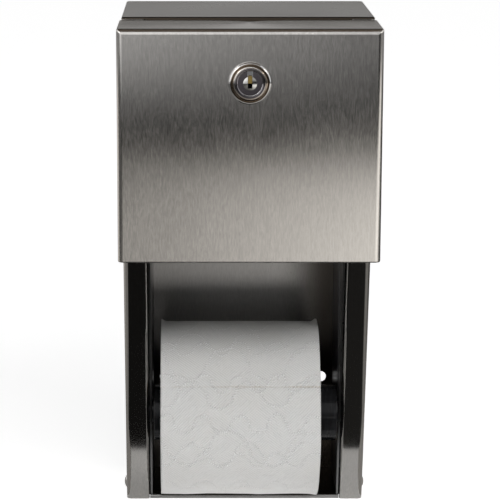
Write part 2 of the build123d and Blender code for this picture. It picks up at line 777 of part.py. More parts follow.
with BuildPart() as left_arm:
    mirror(right_arm.part, about=Plane.YZ)
save(left_arm.part, "left_arm")

# Headed studs that the arms turn on, and the clips that keep them on
with BuildPart() as arm_studs:
    with BuildSketch(Plane.YZ.offset(track_inner)):
        with Locations((stud_y, stud_z)):
            Circle(stud_radius)
    extrude(amount=arm_inner + arm_thickness + stud_end_reach - track_inner)
    with BuildSketch(Plane.YZ.offset(track_inner)):
        with Locations((stud_y, stud_z)):
            Circle(stud_collar_radius)
    extrude(amount=-stud_collar_height)
    mirror(about=Plane.YZ)
save(arm_studs.part, "arm_studs")

with BuildPart() as arm_clips:
    with BuildSketch(Plane.YZ.offset(arm_inner + arm_thickness + clip_gap)):
        with Locations((stud_y, stud_z)):
            Circle(clip_radius)
            Circle(stud_radius + stud_fit, mode=Mode.SUBTRACT)
            Rectangle(clip_slot_width, clip_radius, align=(Align.CENTER, Align.MIN), mode=Mode.SUBTRACT)
    extrude(amount=clip_thickness)
    mirror(about=Plane.YZ)
save(arm_clips.part, "arm_clips")

# Torsion spring around a stud, shown upside down and at the origin: its first leg
# ends in the track plate and its second leg ends under the arm
with BuildPart() as coil:
    with BuildLine() as coil_path:
        turns = Helix(
            pitch=coil_pitch,
            height=coil_pitch * coil_turns,
            radius=coil_radius,
            direction=(1, 0, 0),
            lefthand=True,
        )
    with BuildSketch(Plane(origin=turns @ 0, z_dir=turns % 0)):
        Circle(coil_wire / 2)
    sweep(path=coil_path.line, is_frenet=True)
    for root, run, leg, hook_end_x in (
        (turns @ 0, -(turns % 0), rear_leg, track_inner + weld_gap - coil_start_x),
        (turns @ 1, turns % 1, front_leg, arm_inner + weld_gap - coil_start_x),
    ):
        leg_end = root + run * leg
        with BuildSketch(Plane(origin=root, z_dir=run)):
            Circle(coil_wire / 2)
        extrude(amount=leg)
        with BuildSketch(Plane(origin=leg_end, z_dir=(-1, 0, 0))):
            Circle(coil_wire / 2)
        extrude(amount=leg_end.X - hook_end_x)
        with Locations(leg_end):
            Sphere(coil_wire / 2)

with BuildPart() as right_arm_spring:
    with Locations(Location((coil_start_x, stud_y, stud_z), (180, 0, 0))):
        add(coil.part)
save(right_arm_spring.part, "right_arm_spring")

with BuildPart() as left_arm_spring:
    mirror(right_arm_spring.part, about=Plane.YZ)
save(left_arm_spring.part, "left_arm_spring")
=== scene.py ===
import math
from functools import reduce

import bpy
import numpy as np
from bpy.props import FloatProperty, FloatVectorProperty, IntProperty, PointerProperty
from mathutils import Euler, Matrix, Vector


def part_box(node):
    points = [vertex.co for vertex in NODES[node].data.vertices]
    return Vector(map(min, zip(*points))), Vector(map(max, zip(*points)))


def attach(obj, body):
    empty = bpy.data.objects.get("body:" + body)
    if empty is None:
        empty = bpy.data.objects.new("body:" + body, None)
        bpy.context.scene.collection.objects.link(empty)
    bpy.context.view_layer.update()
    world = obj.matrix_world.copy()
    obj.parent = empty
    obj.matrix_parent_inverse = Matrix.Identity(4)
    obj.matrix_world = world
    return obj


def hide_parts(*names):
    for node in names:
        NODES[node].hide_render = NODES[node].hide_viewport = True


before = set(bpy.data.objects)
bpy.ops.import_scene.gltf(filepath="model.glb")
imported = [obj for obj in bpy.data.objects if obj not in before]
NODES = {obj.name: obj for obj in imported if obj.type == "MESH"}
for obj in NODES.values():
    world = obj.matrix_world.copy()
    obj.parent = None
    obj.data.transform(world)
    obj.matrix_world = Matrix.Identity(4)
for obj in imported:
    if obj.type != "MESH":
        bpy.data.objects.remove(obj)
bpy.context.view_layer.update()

bl_info = {
    "name": "Two-roll tissue dispenser",
    "version": (1, 0, 0),
    "blender": (4, 5, 0),
    "location": "3D View > Sidebar > Dispenser",
    "description": "Dresses a packed stainless tissue dispenser and sets the studio for it",
    "category": "Object",
}

MM = 0.001

ROLL_LOW, ROLL_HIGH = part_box("lower_roll_paper")
CORE_LOW, CORE_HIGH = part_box("lower_roll_core")
ROLL_RADIUS = (ROLL_HIGH.z - ROLL_LOW.z) / 2
CORE_RADIUS = (CORE_HIGH.z - CORE_LOW.z) / 2
FOOT_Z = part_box("right_column")[0].z
ROOF_FRONT_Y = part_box("top_panel")[0].y
SHELF_FRONT_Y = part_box("bottom_shelf")[0].y
LOCK_LOW, LOCK_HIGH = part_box("lock_housing")
LOCK_CENTRE = (LOCK_LOW + LOCK_HIGH) / 2
PLUG_FRONT_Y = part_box("lock_plug")[0].y
PLUG_RADIUS = 4.0 * MM
# How far the lower roll is wound above its core's axis
OFF_CENTRE = 1.1 * MM


# Node helpers

def place(tree, kind, inputs=None, **settings):
    """A shader node with its settings made and its inputs set or linked."""
    node = tree.nodes.new(kind)
    for key, value in settings.items():
        setattr(node, key, value)
    for key, value in (inputs or {}).items():
        socket = node.inputs[key]
        if isinstance(value, bpy.types.NodeSocket):
            tree.links.new(value, socket)
        else:
            socket.default_value = value
    return node


def join(kind, inputs, **settings):
    """A shader node as place makes it, in the tree of the results that are linked to it."""
    tree = next(value.id_data for value in inputs.values() if isinstance(value, bpy.types.NodeSocket))
    return place(tree, kind, inputs, **settings)


def calc(operation, *values, clamp=False):
    """Result of a Math node."""
    return join(
        "ShaderNodeMath", dict(enumerate(values)), operation=operation, use_clamp=clamp
    ).outputs[0]


def plus(*values):
    """Sum of the values."""
    return reduce(lambda first, second: calc("ADD", first, second), values)


def times(*values):
    """Product of the values."""
    return reduce(lambda first, second: calc("MULTIPLY", first, second), values)


def minus(first, second):
    """The first value less the second."""
    return calc("SUBTRACT", first, second)


def size_of(value):
    """A value without its sign."""
    return calc("ABSOLUTE", value)


def away_from(first, second):
    """Distance from the middle, for distances in two directions at right angles."""
    return calc("SQRT", plus(times(first, first), times(second, second)))


def spread(value, low, high, out_low=0.0, out_high=1.0, smooth=False):
    """Result of a Map Range node."""
    return join(
        "ShaderNodeMapRange",
        {"Value": value, "From Min": low, "From Max": high, "To Min": out_low, "To Max": out_high},
        interpolation_type="SMOOTHSTEP" if smooth else "LINEAR", clamp=True,
    ).outputs[0]


def profile(value, stops):
    """A level that follows straight lines between (value, level) stops; levels are up to 1."""
    first, last = stops[0][0], stops[-1][0]
    ramp = join("ShaderNodeValToRGB", {"Fac": spread(value, first, last)})
    points = ramp.color_ramp.elements
    while len(points) < len(stops):
        points.new(0.5)
    for point, (at, level) in zip(points, stops):
        point.position = (at - first) / (last - first)
        point.color = (level, level, level, 1.0)
    return ramp.outputs[0]


def blend_colours(factor, first, second):
    """Result of a colour Mix node."""
    return join("ShaderNodeMix", {0: factor, 6: first, 7: second}, data_type="RGBA").outputs[2]


def on_mesh(tree):
    """The place on the mesh, in the shared frame."""
    return place(tree, "ShaderNodeTexCoord").outputs["Object"]


def split(vector):
    """X, Y and Z of a vector."""
    return join("ShaderNodeSeparateXYZ", {0: vector}).outputs


def speckle(where, scale, detail=3.0, roughness=0.6, distortion=0.0):
    """A noise value over a stretched place, with scale in cycles a metre, for all or each of X, Y, Z."""
    if isinstance(scale, float):
        scale = (scale, scale, scale)
    mapped = join("ShaderNodeMapping", {"Vector": where, "Scale": scale}).outputs[0]
    return join(
        "ShaderNodeTexNoise",
        {"Vector": mapped, "Scale": 1.0, "Detail": detail, "Roughness": roughness,
         "Distortion": distortion},
    ).outputs["Fac"]


def shade(colour, share):
    """A colour made lighter or darker, with its alpha."""
    return (*(min(1.0, channel * share) for channel in colour[:3]), 1.0)


def mottled(pattern, colour, dark, light, low=0.3, high=0.7):
    """A colour that goes from a dark to a light shade as a noise pattern goes from low to high."""
    return blend_colours(spread(pattern, low, high), shade(colour, dark), shade(colour, light))


def relief(height, distance, strength=1.0, **under):
    """Normal of a Bump node whose height 1 stands out by that distance."""
    return join(
        "ShaderNodeBump", {"Height": height, "Strength": strength, "Distance": distance, **under}
    ).outputs[0]


def bare_tree(owner):
    """The node tree of a new material or world, with nothing in it."""
    owner.use_nodes = True
    owner.node_tree.nodes.clear()
    return owner.node_tree


def new_material(name):
    """A node material with nothing but a principled shader: the material, its tree and the shader."""
    material = bpy.data.materials.new(name)
    tree = bare_tree(material)
    shader = place(tree, "ShaderNodeBsdfPrincipled")
    place(tree, "ShaderNodeOutputMaterial", {"Surface": shader.outputs[0]})
    return material, tree, shader


def wire(shader, **values):
    """Links results to the shader's inputs of that name, and sets plain numbers and colours on
    them, with _ in the name for a space."""
    for key, value in values.items():
        socket = shader.inputs[key.replace("_", " ")]
        if isinstance(value, bpy.types.NodeSocket):
            shader.id_data.links.new(value, socket)
        else:
            socket.default_value = value


def dress(material, *names):
    """Gives a material to every slot of the named nodes."""
    for name in names:
        mesh = NODES[name].data
        mesh.materials.clear()
        mesh.materials.append(material)


# Finishes

def painted_shade_colour(colour):
    """The browner colour of painted shade on steel that lies deep in a seam or behind the rolls."""
    return (colour[0], colour[1] * 0.82, colour[2] * 0.64)


def roof_seam_painted_shade(parts):
    """Painted shade on the roof's turned-down front, which faces the seam behind the door."""
    return spread(parts[1], ROOF_FRONT_Y + 0.9 * MM, ROOF_FRONT_Y + 1.6 * MM)


def bay_painted_shade(parts):
    """Painted shade on the back panel's right side and low down behind the roll."""
    right = spread(parts[0], 20 * MM, 54 * MM, 1.0, 0.12, True)
    low = spread(parts[2], -86 * MM, -62 * MM, 0.12, 1.0, True)
    return times(right, low)


def shelf_painted_shade(parts):
    """Painted shade on the shelf behind its front lip, and a painted shadow of the loose sheet on the lip
    right under it.
    """
    behind = spread(parts[1], SHELF_FRONT_Y + 1.0 * MM, SHELF_FRONT_Y + 4.0 * MM, 1.0, 0.1)
    # Painted shadow of the loose sheet: on the top of the lip, across the roll's width.
    high = spread(parts[2], FOOT_Z + 1.3 * MM, FOOT_Z + 2.1 * MM, smooth=True)
    aside = size_of(minus(parts[0], (ROLL_LOW.x + ROLL_HIGH.x) / 2))
    half_roll = (ROLL_HIGH.x - ROLL_LOW.x) / 2
    under = spread(aside, half_roll, half_roll + 2.0 * MM, 0.9, 0.0)
    return times(behind, minus(1.0, times(high, under)))


def grained_steel(name, colour, roughness, anisotropy, along, grain_depth=1.5e-6, painted_shade=None):
    """Sheet steel with a fine grain along one axis, faint smudges and hairline scratches.
    The last argument, a recipe, gives how much of the colour is left where shade is painted on the steel,
    dark and brownish, in a seam or a recess."""
    material, tree, shader = new_material(name)
    where = on_mesh(tree)

    def drawn_out(short, long, *quality):
        """A noise that is short across the grain and long along it."""
        return speckle(where, [long if axis == along else short for axis in "XYZ"], *quality)

    grain = drawn_out(1500.0, 260.0, 4.0, 0.62)
    streak = drawn_out(560.0, 60.0, 2.0, 0.5)
    hairline = drawn_out(3600.0, 40.0, 1.0, 0.4)
    smudge = speckle(where, (14.0, 14.0, 9.0), distortion=0.4)
    tone = plus(times(grain, 0.85), times(streak, 0.15))
    base = mottled(tone, colour, 0.92, 1.08, 0.36, 0.64)
    base = blend_colours(spread(hairline, 0.72, 0.80, 0.0, 0.22), base, shade(colour, 1.2))
    # Painted shade: where the recipe gives less than 1, the steel is darkened towards a dark brown.
    if painted_shade:
        left = painted_shade(split(where))
        base = blend_colours(left, shade(painted_shade_colour(colour), 0.12), base)
    rough = plus(spread(grain, 0.3, 0.7, roughness - 0.025, roughness + 0.025),
                 spread(smudge, 0.35, 0.7, -0.012, 0.03))
    height = plus(times(grain, 0.8), times(streak, 0.2))
    wire(shader, Base_Color=base, Roughness=rough, Normal=relief(height, grain_depth),
         Metallic=1.0, Anisotropic=anisotropy)
    if anisotropy:
        tangent = place(tree, "ShaderNodeTangent", direction_type="RADIAL", axis="Z")
        wire(shader, Tangent=tangent.outputs[0])
    return material


def turned_metal(name, colour, roughness, pit_depth=4e-6, patina=0.08):
    """Plated or polished metal with small turning marks, pits and uneven gloss."""
    material, tree, shader = new_material(name)
    where = on_mesh(tree)
    fine = speckle(where, 2600.0)
    cloud = speckle(where, 90.0, distortion=0.5)
    base = mottled(cloud, colour, 1.0 - patina, 1.0 + patina)
    rough = plus(spread(cloud, 0.3, 0.7, roughness * 0.75, roughness * 1.35),
                 spread(fine, 0.4, 0.7, 0.0, 0.03))
    wire(shader, Base_Color=base, Roughness=rough, Normal=relief(fine, pit_depth), Metallic=1.0)
    return material


def ring_crown(away, middle, reach):
    """Height of a rounded ring round the lock's axis, 1 at its middle and 0 at its edges."""
    aside = calc("DIVIDE", minus(away, middle), reach)
    return calc("SUBTRACT", 1.0, times(aside, aside), clamp=True)


def lock_chrome(name, colour, roughness, crown_height, recipe):
    """Chrome of the lock. The recipe colours it by distance from the lock's axis in millimetres,
    and gives the height of its crowns, of which 1 stands out by the crown height."""
    material, tree, shader = new_material(name)
    where = on_mesh(tree)
    parts = split(where)
    dx, dz = minus(parts[0], LOCK_CENTRE.x), minus(parts[2], LOCK_CENTRE.z)
    away = calc("DIVIDE", away_from(dx, dz), MM)
    cloud = speckle(where, 160.0, distortion=0.5)
    pits = speckle(where, 2600.0)
    base, crown = recipe(mottled(cloud, colour, 0.93, 1.07), away, (dx, parts[1], dz))
    crowned = relief(crown, crown_height)
    rough = spread(cloud, 0.3, 0.7, roughness * 0.8, roughness * 1.3)
    wire(shader, Base_Color=base, Roughness=rough, Metallic=1.0,
         Normal=relief(pits, 3e-6, Normal=crowned))
    return material


def plug_front(base, away, parts):
    """Plug: painted shade, black, in the keyway behind its front, and one crown."""
    # Painted shade: the keyway behind the plug's front is made black.
    deep = spread(parts[1], PLUG_FRONT_Y + 0.25 * MM, PLUG_FRONT_Y + 0.5 * MM)
    slot = spread(size_of(parts[0]), 1.4 * MM, 1.5 * MM, 1.0, 0.0)
    base = blend_colours(times(deep, slot), base, (0.01, 0.01, 0.01, 1.0))
    return base, ring_crown(away, 0.0, PLUG_RADIUS / MM)


def housing_rings(base, away, parts):
    """Housing: painted dark reflections on the face, all but the key's notch, and on a band in the collar's
    middle, and a brownish painted dark reflection in the dish, which leave bright rings between them; a
    crown on the collar and a hollow in the dish."""
    notch = times(spread(size_of(parts[0]), 1.55 * MM, 1.75 * MM, 1.0, 0.0),
                  spread(parts[2], 3.6 * MM, 3.9 * MM))
    face = times(spread(away, 6.9, 7.15, 1.0, 0.0), minus(1.0, notch))
    band = times(spread(away, 7.3, 7.6), spread(away, 8.55, 8.8, 1.0, 0.0))
    dish = times(spread(away, 9.2, 9.4), spread(away, 10.9, 11.5, 1.0, 0.0))
    # Painted dark reflections on the face, the collar's middle band and the dish.
    for mask, colour in ((face, (0.27, 0.245, 0.265, 1.0)), (band, (0.13, 0.12, 0.125, 1.0)),
                         (dish, (0.38, 0.32, 0.26, 1.0))):
        base = blend_colours(mask, base, colour)
    collar, hollow = ring_crown(away, 8.1, 1.05), ring_crown(away, 10.35, 1.0)
    return base, minus(collar, times(hollow, 1.6))


def moulded_plastic(name, colour, roughness):
    """Glossy moulded plastic with flow marks and light rubbing."""
    material, tree, shader = new_material(name)
    where = on_mesh(tree)
    skin = speckle(where, 1400.0)
    flow = speckle(where, (22.0, 160.0, 160.0), distortion=0.3)
    rub = speckle(where, (700.0, 90.0, 90.0), 2.0, 0.5)
    base = mottled(rub, colour, 0.9, 1.7, 0.5, 0.75)
    rough = plus(spread(flow, 0.3, 0.7, roughness * 0.7, roughness * 1.3),
                 spread(rub, 0.55, 0.75, 0.0, 0.08))
    wire(shader, Base_Color=base, Roughness=rough, Normal=relief(skin, 5e-6),
         Specular_IOR_Level=0.18)
    return material


def rolled_card(name, colour, axis_y, axis_z):
    """Grey-brown card wound in a spiral strip, with fibres and a seam."""
    material, tree, shader = new_material(name)
    where = on_mesh(tree)
    parts = split(where)
    turn = calc("ARCTAN2", minus(parts[2], axis_z), minus(parts[1], axis_y))
    strips_a_metre = 26.0
    strip = plus(times(parts[0], strips_a_metre), calc("DIVIDE", turn, 2 * math.pi))
    seam = spread(size_of(minus(calc("FRACT", strip), 0.5)), 0.47, 0.5)
    fibre = speckle(where, (900.0, 500.0, 500.0), 4.0, 0.65, 0.6)
    fleck = speckle(where, 260.0, 2.0, 0.5)
    base = mottled(fibre, colour, 0.82, 1.14)
    base = blend_colours(spread(fleck, 0.6, 0.72, 0.0, 0.5), base, shade(colour, 0.6))
    base = blend_colours(seam, base, shade(colour, 0.55))
    wire(shader, Base_Color=base, Roughness=spread(fibre, 0.3, 0.7, 0.82, 0.95),
         Normal=relief(minus(fibre, seam), 6e-5, 0.8))
    return material


def dotted_scallops(across, along, size, offset, dot_count):
    """Rows of half circles set in dots, one turned up and the next turned down. The size is half
    of a circle's cell in millimetres, and the offset shifts the rows by a share of the cell."""
    row_step, ring_share = 4.4, 0.93
    column = plus(calc("DIVIDE", across, 2 * size), offset)
    odd = calc("FRACT", times(calc("FLOOR", column), 0.5))
    side = spread(odd, 0.2, 0.3, 1.0, -1.0)
    row = minus(calc("FRACT", calc("DIVIDE", along, row_step * size)), 0.5)
    up = times(row, row_step, side)
    aside = times(minus(calc("FRACT", column), 0.5), 2.0)
    off_ring = size_of(minus(away_from(up, aside), ring_share))
    ring = spread(off_ring, 0.25 / size, 0.75 / size, 1.0, 0.0, True)
    angle = calc("ARCTAN2", up, aside)
    dots = spread(calc("SINE", times(angle, dot_count)), 0.0, 0.7, smooth=True)
    return times(ring, dots, spread(up, -0.1, 0.0))


def swirls(across, along):
    """Three sizes of dotted scallops laid over each other."""
    small = dotted_scallops(across, plus(along, 9.0), 5.6, 0.62, 22.0)
    middle = dotted_scallops(across, along, 8.6, 0.3, 34.0)
    large = dotted_scallops(across, plus(along, 21.0), 12.4, 0.85, 50.0)
    return calc("MAXIMUM", calc("MAXIMUM", small, middle), large)


def diagonal_ribs(wound, across, along):
    """Micro emboss from -1 to 1: fine ribs that fall in some patches and rise in others."""
    pitch = 1.3
    lines = (plus(times(across, 0.62), times(along, 0.78)),
             minus(times(across, 0.7), times(along, 0.71)))
    falling, rising = (calc("SINE", times(line, 2 * math.pi / pitch)) for line in lines)
    patch = spread(speckle(wound, (0.045, 0.045, 0.0), 1.0, 0.5), 0.44, 0.56, smooth=True)
    ribs = join("ShaderNodeMix", {0: patch, 2: falling, 3: rising}, data_type="FLOAT").outputs[0]
    return times(ribs, spread(speckle(wound, (0.5, 0.5, 0.0), 2.0), 0.3, 0.7, 0.35, 1.0))


def slit_lines(across, along, stir, sheet_length):
    """Dashed, slightly wavy lines of slits, stronger to the right: one sheet from the loose end,
    and then two sheets apart."""
    dash_pitch = 2.3
    past_end = minus(sheet_length, calc("PINGPONG", along, sheet_length))
    off_line = size_of(plus(past_end, times(minus(stir, 0.5), 2.2)))
    line = spread(off_line, 0.15, 0.62, 1.0, 0.0, True)
    dash = spread(calc("SINE", times(across, 2 * math.pi / dash_pitch)), -0.9, -0.2, 0.55, 1.0)
    return times(line, dash, spread(across, -30.0, 45.0, 0.45, 1.0))


def embossed_tissue(name, colour, sheet_length, slit_shade_colour):
    """Soft white tissue: diagonal micro emboss, dotted scallops and lines of slits, with painted shade in
    the ribs' hollows, beside each dot and in the slits, and painted highlights on the dots.
    The wound map's U is the width and its V the distance from the loose end, both in millimetres."""
    material, tree, shader = new_material(name)
    wound = place(tree, "ShaderNodeUVMap", uv_map="wound").outputs[0]
    parts = split(wound)
    stir = speckle(wound, (0.09, 0.09, 0.0), 2.0, 0.5)
    across = plus(parts[0], times(stir, 5.0))
    along = plus(parts[1], times(stir, 7.0))
    ribs = diagonal_ribs(wound, parts[0], parts[1])
    scallops = swirls(across, along)
    # Painted shade: the dots' pattern, shifted a little, darkens one side of each dot.
    painted_dot_shade = swirls(plus(across, 0.35), minus(along, 0.55))
    fibre = speckle(wound, (3.2, 2.2, 0.0), 4.0, 0.7, 0.5)
    crease = speckle(wound, (0.16, 0.11, 0.0), distortion=1.2)
    slit = slit_lines(parts[0], parts[1], stir, sheet_length)
    height = minus(plus(times(ribs, 0.24), times(scallops, 0.95), times(fibre, 0.20),
                        times(crease, 0.9)), times(slit, 0.5))
    base = mottled(fibre, colour, 0.95, 1.03)
    cloud = speckle(on_mesh(tree), 30.0, 2.0, 0.5)
    warmer = (colour[0], colour[1] * 0.985, colour[2] * 0.96)
    # Over a warm stain: painted shade in the ribs' hollows and beside each dot, painted highlights on the
    # dots, and painted shade in the slits.
    for mask, tint in ((spread(cloud, 0.4, 0.65, 0.0, 0.4), shade(warmer, 0.97)),
                       (spread(ribs, -1.0, 0.3, 0.24, 0.0), shade(colour, 0.45)),
                       (times(painted_dot_shade, 0.17), shade(colour, 0.35)),
                       (times(scallops, 0.85), (1.0, 1.0, 0.99, 1.0)),
                       (times(slit, 0.45), slit_shade_colour)):
        base = blend_colours(mask, base, tint)
    wire(shader, Base_Color=base, Roughness=spread(fibre, 0.3, 0.7, 0.86, 0.98),
         Normal=relief(height, 0.5 * MM, 0.75), Specular_IOR_Level=0.15,
         Sheen_Weight=0.08, Sheen_Roughness=0.6)
    return material


def wound_edges(name, colour, axis_y, axis_z):
    """Ends of a roll: the edges of the wound tissue show as fine uneven rings."""
    material, tree, shader = new_material(name)
    where = on_mesh(tree)
    parts = split(where)
    dy, dz = minus(parts[1], axis_y), minus(parts[2], axis_z)
    turns = calc("DIVIDE", calc("ARCTAN2", dz, dy), 2 * math.pi)
    plies_a_metre = 1150.0
    ring_place = plus(times(away_from(dy, dz), plies_a_metre), times(speckle(where, 60.0), 2.4), turns)
    rings = calc("SINE", times(ring_place, 2 * math.pi))
    fluff = speckle(where, 1700.0, 4.0, 0.7)
    base = mottled(plus(times(rings, 0.25), fluff), colour, 0.84, 1.02, 0.2, 0.8)
    height = plus(times(rings, 0.3), fluff)
    wire(shader, Base_Color=base, Roughness=spread(fluff, 0.3, 0.7, 0.88, 1.0),
         Normal=relief(height, 0.2 * MM, 0.9), Specular_IOR_Level=0.1)
    return material


# Mesh helpers

def new_object(name, data):
    """An object with that data, linked to the scene."""
    thing = bpy.data.objects.new(name, data)
    bpy.context.scene.collection.objects.link(thing)
    return thing


def mesh_piece(name, points, faces, material):
    """A linked, smooth-shaded mesh object made from points and faces."""
    mesh = bpy.data.meshes.new(name)
    mesh.from_pydata([tuple(p) for p in points], [], [tuple(f) for f in faces])
    mesh.update()
    mesh.polygons.foreach_set("use_smooth", [True] * len(mesh.polygons))
    mesh.materials.append(material)
    return new_object(name, mesh)


def grid_faces(rows, columns, closed_rows=False, closed_columns=False):
    """Quads over a grid of points stored row by row."""
    faces = []
    for r in range(rows if closed_rows else rows - 1):
        for c in range(columns if closed_columns else columns - 1):
            r2, c2 = (r + 1) % rows, (c + 1) % columns
            faces.append((r * columns + c, r * columns + c2, r2 * columns + c2, r2 * columns + c))
    return faces


def wire_tube(name, path, radius, material):
    """A round wire along a line of points, with closed ends."""
    sides = 14
    path = np.array(path, dtype=float)
    run = np.gradient(path, axis=0)
    run /= np.linalg.norm(run, axis=1)[:, None]
    # A start that no wire of this object runs along
    aside = np.cross(run[0], (0.3, 0.5, 0.81))
    turn = np.linspace(0, 2 * np.pi, sides, endpoint=False)
    rings = []
    for middle, along in zip(path, run):
        aside = aside - along * np.dot(aside, along)
        aside /= np.linalg.norm(aside)
        upward = np.cross(along, aside)
        rings.append(middle + radius * (np.outer(np.cos(turn), aside) + np.outer(np.sin(turn), upward)))
    points = np.concatenate(rings)
    faces = grid_faces(len(path), sides, False, True)
    faces.append(tuple(reversed(range(sides))))
    faces.append(tuple(range(len(points) - sides, len(points))))
    return mesh_piece(name, points, faces, material)


def bent(corner, before, after, radius):
    """Points round a right-angled bend of a wire, which comes along one direction and leaves
    along the other."""
    corner, before, after = (np.array(v, dtype=float) for v in (corner, before, after))
    centre = corner - before * radius + after * radius
    return [tuple(centre + radius * (before * math.sin(a) - after * math.cos(a)))
            for a in np.linspace(0, np.pi / 2, 6)]


def arm_spring(side, material):
    """Torsion spring round an arm's stud: the coil and its rear leg stay, and the front leg turns
    with the arm. Side is -1 on the left and 1 on the right."""
    name = {-1: "left", 1: "right"}[side]
    wire_radius, coil_radius, bend = 0.6 * MM, 6.3 * MM, 1.3 * MM
    turns, pitch, steps_a_turn = 3, 1.5 * MM, 30
    arm_to_coil, leg_to_coil, leg_to_arm = 3.8 * MM, 0.05 * MM, 0.3 * MM
    # The rear leg is straight between points this far in from its ends, and the front leg starts
    # this far behind the stud's axis
    rear_inset, front_start = 2.0 * MM, 1.0 * MM

    low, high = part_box(name + "_arm")
    stud_y, stud_z = high.y - (high.z - low.z) / 2, (low.z + high.z) / 2
    arm_inner = min(abs(low.x), abs(high.x))
    spring_low, spring_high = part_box(name + "_arm_spring")
    hook_x = min(abs(spring_low.x), abs(spring_high.x))
    rear_y, front_y = spring_high.y - wire_radius, spring_low.y + wire_radius
    leg_z = stud_z - coil_radius

    coil_x = arm_inner + arm_to_coil
    path = [(hook_x, rear_y, leg_z), *bent((coil_x, rear_y, leg_z), (1, 0, 0), (0, -1, 0), bend),
            (coil_x, rear_y - bend - rear_inset, leg_z), (coil_x, stud_y + rear_inset, leg_z)]
    for step in range(turns * steps_a_turn + 1):
        a = 2 * np.pi * step / steps_a_turn
        path.append((coil_x + pitch * step / steps_a_turn,
                     stud_y - coil_radius * math.sin(a), stud_z - coil_radius * math.cos(a)))
    leg_x = coil_x + pitch * turns + 2 * wire_radius + leg_to_coil
    leg = [(leg_x, stud_y + front_start, leg_z),
           *bent((leg_x, front_y, leg_z), (0, -1, 0), (-1, 0, 0), bend),
           (arm_inner + leg_to_arm, front_y, leg_z)]

    fixed = wire_tube(name + "_spring_coil", [(side * x, y, z) for x, y, z in path], wire_radius, material)
    moving = wire_tube(name + "_spring_leg", [(side * x, y, z) for x, y, z in leg], wire_radius, material)
    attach(fixed, "cabinet")
    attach(moving, name + "_arm")
    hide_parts(name + "_arm_spring")


def wander(rng, count, waves, size):
    """A smooth random line of that many values, made of a few sine waves."""
    t = np.linspace(0.0, 1.0, count)
    line = np.zeros(count)
    for wave in range(1, waves + 1):
        line += rng.normal() / wave * np.sin(2 * np.pi * (wave * t + rng.random()))
    return size * line / max(1e-9, np.abs(line).max())


def hump(value, centre, half_width):
    """Smooth bump of height 1 round a centre."""
    return np.exp(-(((value - centre) / half_width) ** 2))


def wound_map(piece, points, round_mm):
    """Writes the wound map: U is the width and V the distance round the roll, in millimetres."""
    layer = piece.data.uv_layers.new(name="wound")
    index = np.zeros(len(piece.data.loops), np.int32)
    piece.data.loops.foreach_get("vertex_index", index)
    uv = np.stack([points[:, 0] / MM, round_mm], axis=1)[index]
    layer.data.foreach_set("uv", uv.astype(np.float32).ravel())


def roll_body(name, axis, low_x, high_x, radius, material, end_material, seed, loose):
    """The wound mass of a roll: a closed ring with a soft rim and uneven wound ends."""
    rng = np.random.default_rng(seed)
    steps, rings, rim_steps = 180, 30, 5
    rim, rim_drop, end_depth = 0.9 * MM, 0.6, 0.5
    end_unevenness, bulge_share, end_wobble = 0.16 * MM, 0.0022, 0.05 * MM
    inner = CORE_RADIUS + 0.05 * MM
    left_wave = wander(rng, rings, 9, end_unevenness)
    right_wave = wander(rng, rings, 9, end_unevenness)
    bulge = 1.0 + wander(rng, steps, 4, bulge_share)

    def half_outline(end_x, inward, wave):
        """From the core out over one end and its rim: place along X, radius and 1 on the end."""
        outline = [(end_x + inward * (rim * end_depth + wave[k]),
                    inner + k / (rings - 1) * (radius - rim - inner), 1) for k in range(rings)]
        for k in range(rim_steps):
            left = 1 - np.sin((k + 1) / (rim_steps + 1) * np.pi / 2)
            outline.append((end_x + inward * rim * left, radius - rim * left * rim_drop, 0))
        return outline

    front = [(low_x + rim + share * (high_x - low_x - 2 * rim), radius, 0)
             for share in np.linspace(0.02, 0.98, 26)]
    outline = half_outline(low_x, 1, left_wave) + front + half_outline(high_x, -1, right_wave)[::-1]

    turn = np.linspace(0, 2 * np.pi, steps, endpoint=False)
    points = []
    for index, (x, r, on_end) in enumerate(outline):
        share = (r - inner) / (radius - inner)
        radial = r * (1 + (bulge - 1) * share)
        wobble = end_wobble * np.sin(7 * turn + index * 0.7) * on_end
        points.append(np.stack([x + wobble, axis[0] - radial * np.cos(turn),
                                axis[1] + radial * np.sin(turn) + share * loose * OFF_CENTRE], axis=1))
    points = np.concatenate(points)
    faces = grid_faces(len(outline), steps, True, True)
    piece = mesh_piece(name, points, faces, material)
    piece.data.materials.append(end_material)
    on_ends = [row[2] for row in outline]
    slots = [on_ends[i // steps] * on_ends[(i // steps + 1) % len(outline)] for i in range(len(faces))]
    piece.data.polygons.foreach_set("material_index", slots)
    round_roll = np.arctan2(points[:, 2] - axis[1], axis[0] - points[:, 1])
    wound_map(piece, points, round_roll * ROLL_RADIUS / MM)
    return piece


